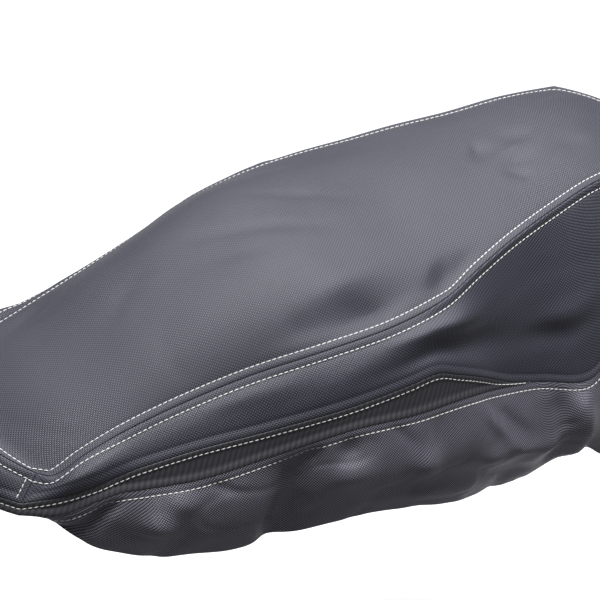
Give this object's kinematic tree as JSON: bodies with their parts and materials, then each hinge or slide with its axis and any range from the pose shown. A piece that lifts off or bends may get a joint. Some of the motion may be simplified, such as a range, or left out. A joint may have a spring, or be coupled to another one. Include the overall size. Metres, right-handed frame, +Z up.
{
  "type": "snowmobile seat cover",
  "caption": "Fitted sewn seat cover with a crowned top panel, side panels, a grip band and a loose gathered skirt, open below to pull over a long stepped seat.",
  "frame": {"origin": "on the inner face of the top panel, midway along the cover and on its centre line, where the top of the seat holds it up", "axes": "+X to the front of the seat, +Y to its left, +Z up"},
  "size_m": [0.8495, 0.4351, 0.3242],
  "materials": {
    "panel_vinyl": "satin embossed vinyl",
    "grip_vinyl": "smooth vinyl with fine ribs",
    "skirt_nylon": "coarse coated weave"
  },
  "bodies": {
    "root": {"top_panel": "panel_vinyl", "side_panel_right": "panel_vinyl", "side_panel_left": "panel_vinyl", "front_panel": "panel_vinyl", "rear_panel": "panel_vinyl", "grip_band": "grip_vinyl", "skirt": "skirt_nylon"}
  },
  "joints": []
}
